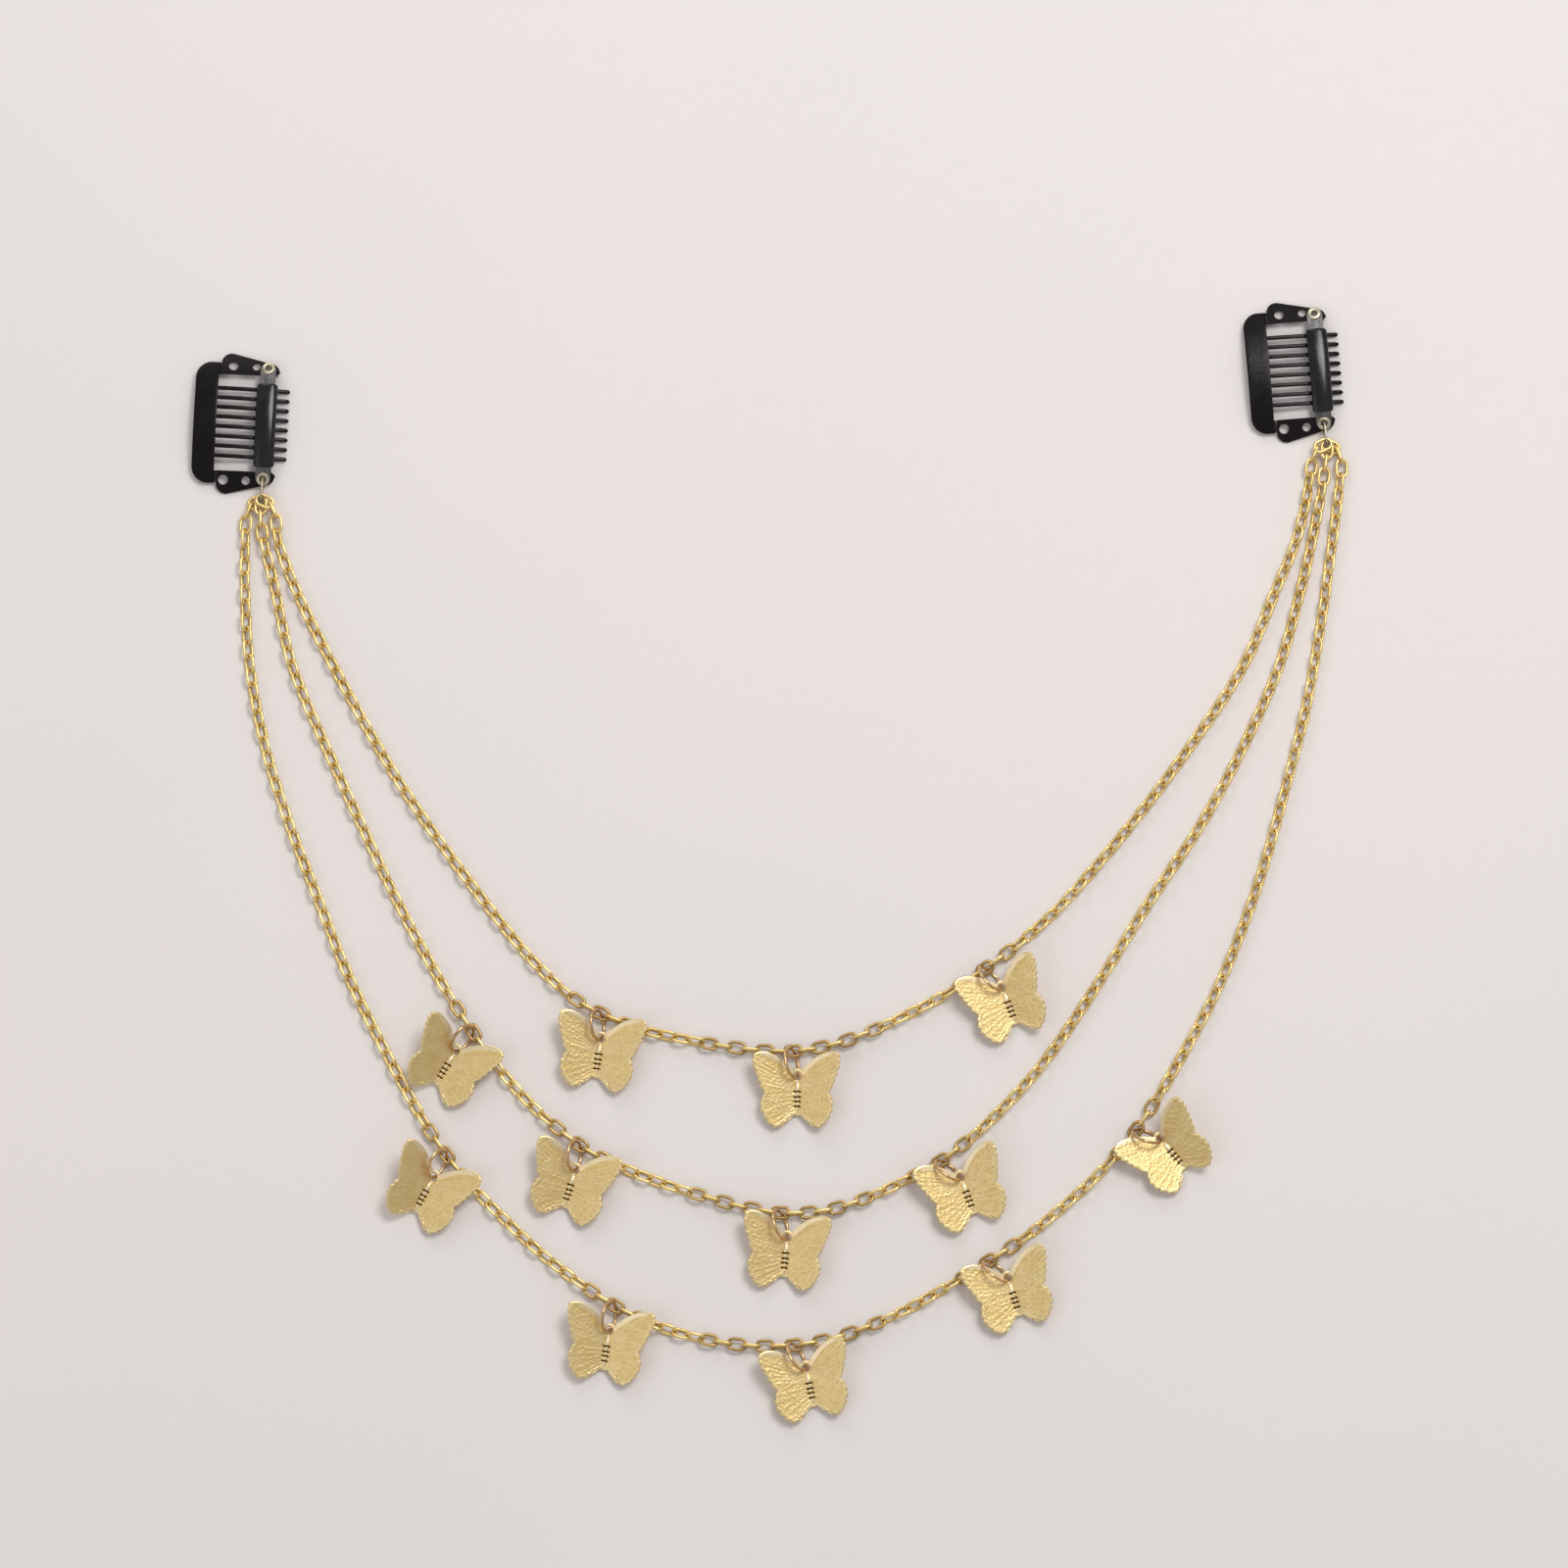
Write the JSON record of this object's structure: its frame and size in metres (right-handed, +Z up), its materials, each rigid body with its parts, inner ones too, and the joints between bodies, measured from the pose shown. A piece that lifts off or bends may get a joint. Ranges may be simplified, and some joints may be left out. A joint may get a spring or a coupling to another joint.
{
  "type": "layered butterfly hair chain with snap comb clips",
  "caption": "Layered gold hair chain laid flat: oval-link strands hung with butterfly charms on jump rings, held at both ends by bowed black snap comb clips with rubber sleeves.",
  "frame": {"origin": "on the table under the middle of the jewel's box", "axes": "+X to the right along the wide way of the jewel, +Y from the lowest butterflies up to the clips, +Z up from the table"},
  "size_m": [0.2589, 0.2523, 0.0084],
  "materials": {
    "enamel": "satin",
    "rubber": "satin",
    "steel": "satin",
    "pale_brass": "polished",
    "gold_chain": "polished",
    "gold_ring": "polished",
    "gold_butterfly": "satin"
  },
  "bodies": {
    "chain_set": {"left_frame": "enamel", "left_bar": "steel", "left_sleeve": "rubber", "left_eyelet_top": "pale_brass", "left_eyelet_bottom": "pale_brass", "left_end_ring": "pale_brass", "right_frame": "enamel", "right_bar": "steel", "right_sleeve": "rubber", "right_eyelet_top": "pale_brass", "right_eyelet_bottom": "pale_brass", "right_end_ring": "pale_brass", "chain_inner": "gold_chain", "chain_middle": "gold_chain", "chain_outer": "gold_chain", "butterfly_01": "gold_butterfly", "ring_01": "gold_ring", "butterfly_02": "gold_butterfly", "ring_02": "gold_ring", "butterfly_03": "gold_butterfly", "ring_03": "gold_ring", "butterfly_04": "gold_butterfly", "ring_04": "gold_ring", "butterfly_05": "gold_butterfly", "ring_05": "gold_ring", "butterfly_06": "gold_butterfly", "ring_06": "gold_ring", "butterfly_07": "gold_butterfly", "ring_07": "gold_ring", "butterfly_08": "gold_butterfly", "ring_08": "gold_ring", "butterfly_09": "gold_butterfly", "ring_09": "gold_ring", "butterfly_10": "gold_butterfly", "ring_10": "gold_ring", "butterfly_11": "gold_butterfly", "ring_11": "gold_ring", "butterfly_12": "gold_butterfly", "ring_12": "gold_ring"},
    "left_comb": {"left_comb": "enamel"},
    "right_comb": {"right_comb": "enamel"}
  },
  "joints": [
    {"name": "left_comb_snap", "type": "hinge", "parent": "chain_set", "child": "left_comb", "pos_m": [-0.12364, 0.09917, 0.00139], "axis": [0.0436, 0.999, 0], "range_deg": [0, 40]},
    {"name": "right_comb_snap", "type": "hinge", "parent": "chain_set", "child": "right_comb", "pos_m": [0.11308, 0.1105, 0.00139], "axis": [-0.0785, 0.9969, 0], "range_deg": [0, 40]}
  ]
}
